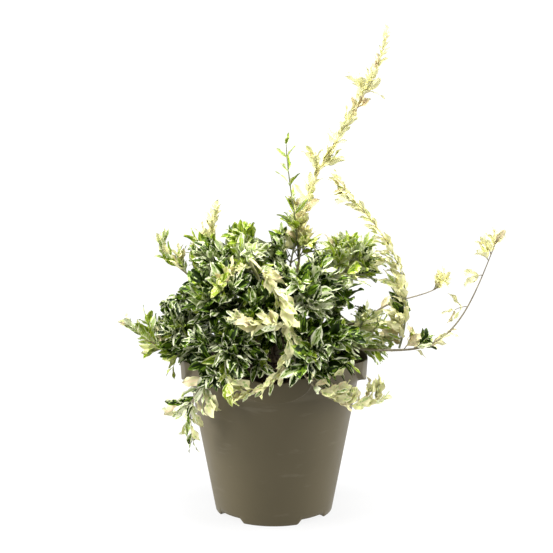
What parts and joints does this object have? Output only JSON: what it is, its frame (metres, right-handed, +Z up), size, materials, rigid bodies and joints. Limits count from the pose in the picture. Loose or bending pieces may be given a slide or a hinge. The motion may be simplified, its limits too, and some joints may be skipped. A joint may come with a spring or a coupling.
{
  "type": "potted harlequin wintercreeper shrub",
  "caption": "Low variegated evergreen shrub with trailing cream shoots, growing in a round plastic nursery pot that stands on its foot.",
  "frame": {"origin": "middle of the pot's underside, on the surface that it stands on", "axes": "+Z up from the pot's underside to the shoots' tips, -Y towards the front of the plant, +X to the right seen from the front"},
  "size_m": [0.3518, 0.2198, 0.4357],
  "materials": {
    "pot": "satin taupe",
    "potting_mix": "moist and crumbly",
    "bark": "thin grey-brown bark",
    "green_stem": "smooth young stem",
    "variegated_leaves": "glossy green, streaked and edged with white",
    "cream_leaves": "cream to pale yellow, with a little green"
  },
  "bodies": {
    "root": {"pot": "pot", "potting_mix": "potting_mix", "trunk": "bark", "bough_front_middle": "bark", "bough_front_left": "bark", "bough_front_right": "bark", "bough_front_low_left": "bark", "bough_front_low_right": "bark", "bough_left_low": "bark", "bough_left_middle": "bark", "bough_left_upper": "bark", "bough_top_left": "bark", "bough_top_right": "bark", "bough_right_upper": "bark", "bough_right_middle": "bark", "bough_right_low": "bark", "bough_back_low_left": "bark", "bough_back_low": "bark", "bough_back_low_right": "bark", "bough_back_left": "bark", "bough_back_right": "bark", "shoot_bough_tall": "green_stem", "shoot_bough_right_long": "green_stem", "shoot_bough_right_short": "green_stem", "shoot_bough_left_low": "green_stem", "shoot_bough_left_upper": "green_stem", "shoot_bough_pale_upright": "green_stem", "shoot_bough_front_hanging": "green_stem", "shoot_bough_front_right_hanging": "green_stem", "shoot_bough_left_hanging": "green_stem", "foliage_front_middle": "variegated_leaves", "foliage_front_left": "variegated_leaves", "foliage_front_right": "variegated_leaves", "foliage_front_low_left": "variegated_leaves", "foliage_front_low_right": "variegated_leaves", "foliage_left_low": "variegated_leaves", "foliage_left_middle": "variegated_leaves", "foliage_left_upper": "variegated_leaves", "foliage_top_left": "variegated_leaves", "foliage_top_right": "variegated_leaves", "foliage_right_upper": "variegated_leaves", "foliage_right_middle": "variegated_leaves", "foliage_right_low": "variegated_leaves", "foliage_back_low_left": "variegated_leaves", "foliage_back_low": "variegated_leaves", "foliage_back_low_right": "variegated_leaves", "foliage_back_left": "variegated_leaves", "foliage_back_right": "variegated_leaves", "shoot_tall": "cream_leaves", "shoot_upright_green": "variegated_leaves", "shoot_right_long": "cream_leaves", "shoot_right_arching": "cream_leaves", "shoot_right_short": "cream_leaves", "shoot_left_low": "variegated_leaves", "shoot_left_upper": "cream_leaves", "shoot_pale_upright": "cream_leaves", "shoot_front_hanging": "cream_leaves", "shoot_front_right_hanging": "cream_leaves", "shoot_left_hanging": "cream_leaves"}
  },
  "joints": []
}
